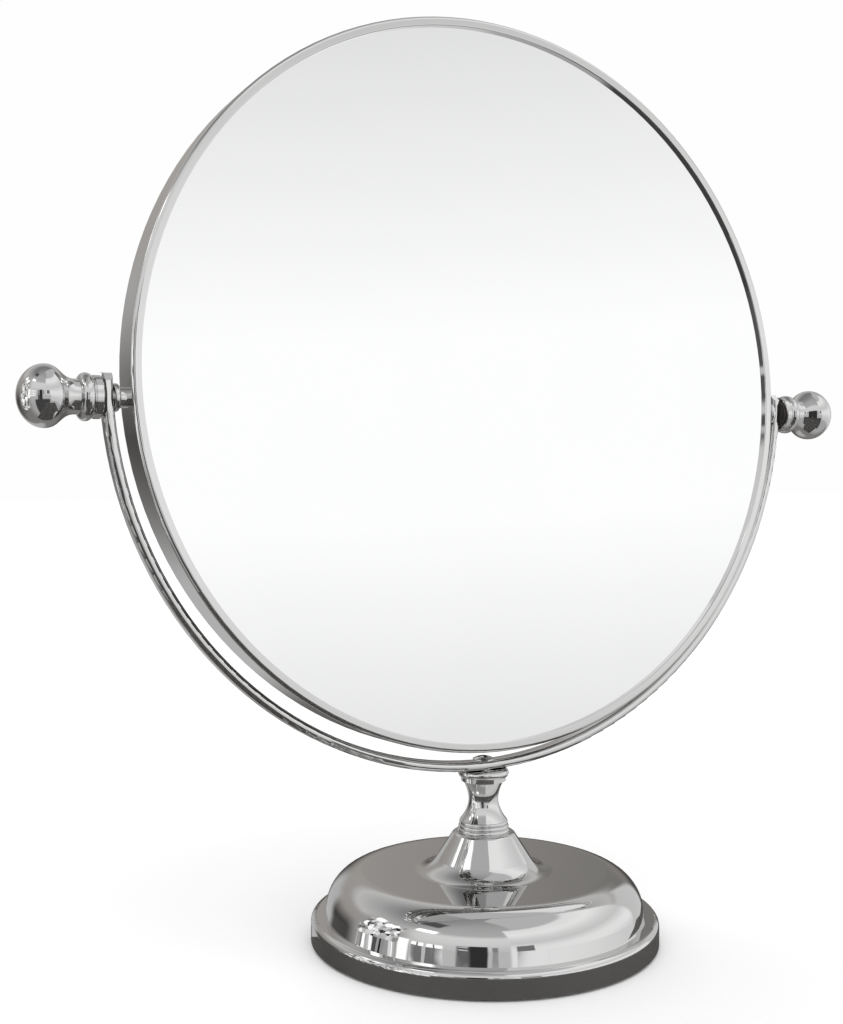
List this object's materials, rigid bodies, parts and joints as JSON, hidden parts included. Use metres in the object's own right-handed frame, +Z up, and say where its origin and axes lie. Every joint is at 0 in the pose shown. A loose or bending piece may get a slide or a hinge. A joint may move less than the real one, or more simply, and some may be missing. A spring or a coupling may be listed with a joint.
{
  "type": "countertop mirror",
  "caption": "Round framed mirror that tips on side knobs in a half-circle yoke, on a turned stem and a weighted, domed round base; all bright metal.",
  "frame": {"origin": "centre of the base's underside, on the surface that the mirror stands on", "axes": "+Z up, -Y the way the glass faces, X along the tilt axis"},
  "size_m": [0.32, 0.1216, 0.321],
  "materials": {
    "chrome": "polished",
    "silvered_glass": "polished, silvered on the back",
    "steel": "zinc plated",
    "iron": "rough casting, black paint",
    "felt": "pressed felt",
    "fibre": "vulcanised fibre",
    "fibreboard": "pressed board"
  },
  "bodies": {
    "base": {"base_shell": "chrome", "base_weight": "iron", "base_pad": "felt", "tie_rod": "steel", "tie_washer": "steel", "tie_nut": "steel", "stem": "chrome", "yoke": "chrome", "yoke_screw": "chrome", "left_washer": "fibre", "right_washer": "fibre"},
    "head": {"hoop": "chrome", "mirror_glass": "silvered_glass", "backing_board": "fibreboard", "rear_cover": "chrome", "retaining_ring": "steel", "left_stud": "steel", "left_spacer": "chrome", "left_bush": "chrome", "right_stud": "steel", "right_spacer": "chrome", "right_bush": "chrome"},
    "left_knob_body": {"left_knob": "chrome"},
    "right_knob_body": {"right_knob": "chrome"}
  },
  "joints": [
    {"name": "tilt", "type": "hinge", "parent": "base", "child": "head", "pos_m": [0, 0, 0.1864], "axis": [1, 0, 0], "range_deg": [-162, 167]},
    {"name": "left_knob_turn", "type": "hinge", "parent": "head", "child": "left_knob_body", "pos_m": [-0.1474, 0, 0.1864], "axis": [-1, 0, 0], "range_deg": [0, 360]},
    {"name": "right_knob_turn", "type": "hinge", "parent": "head", "child": "right_knob_body", "pos_m": [0.1474, 0, 0.1864], "axis": [1, 0, 0], "range_deg": [0, 360]}
  ]
}
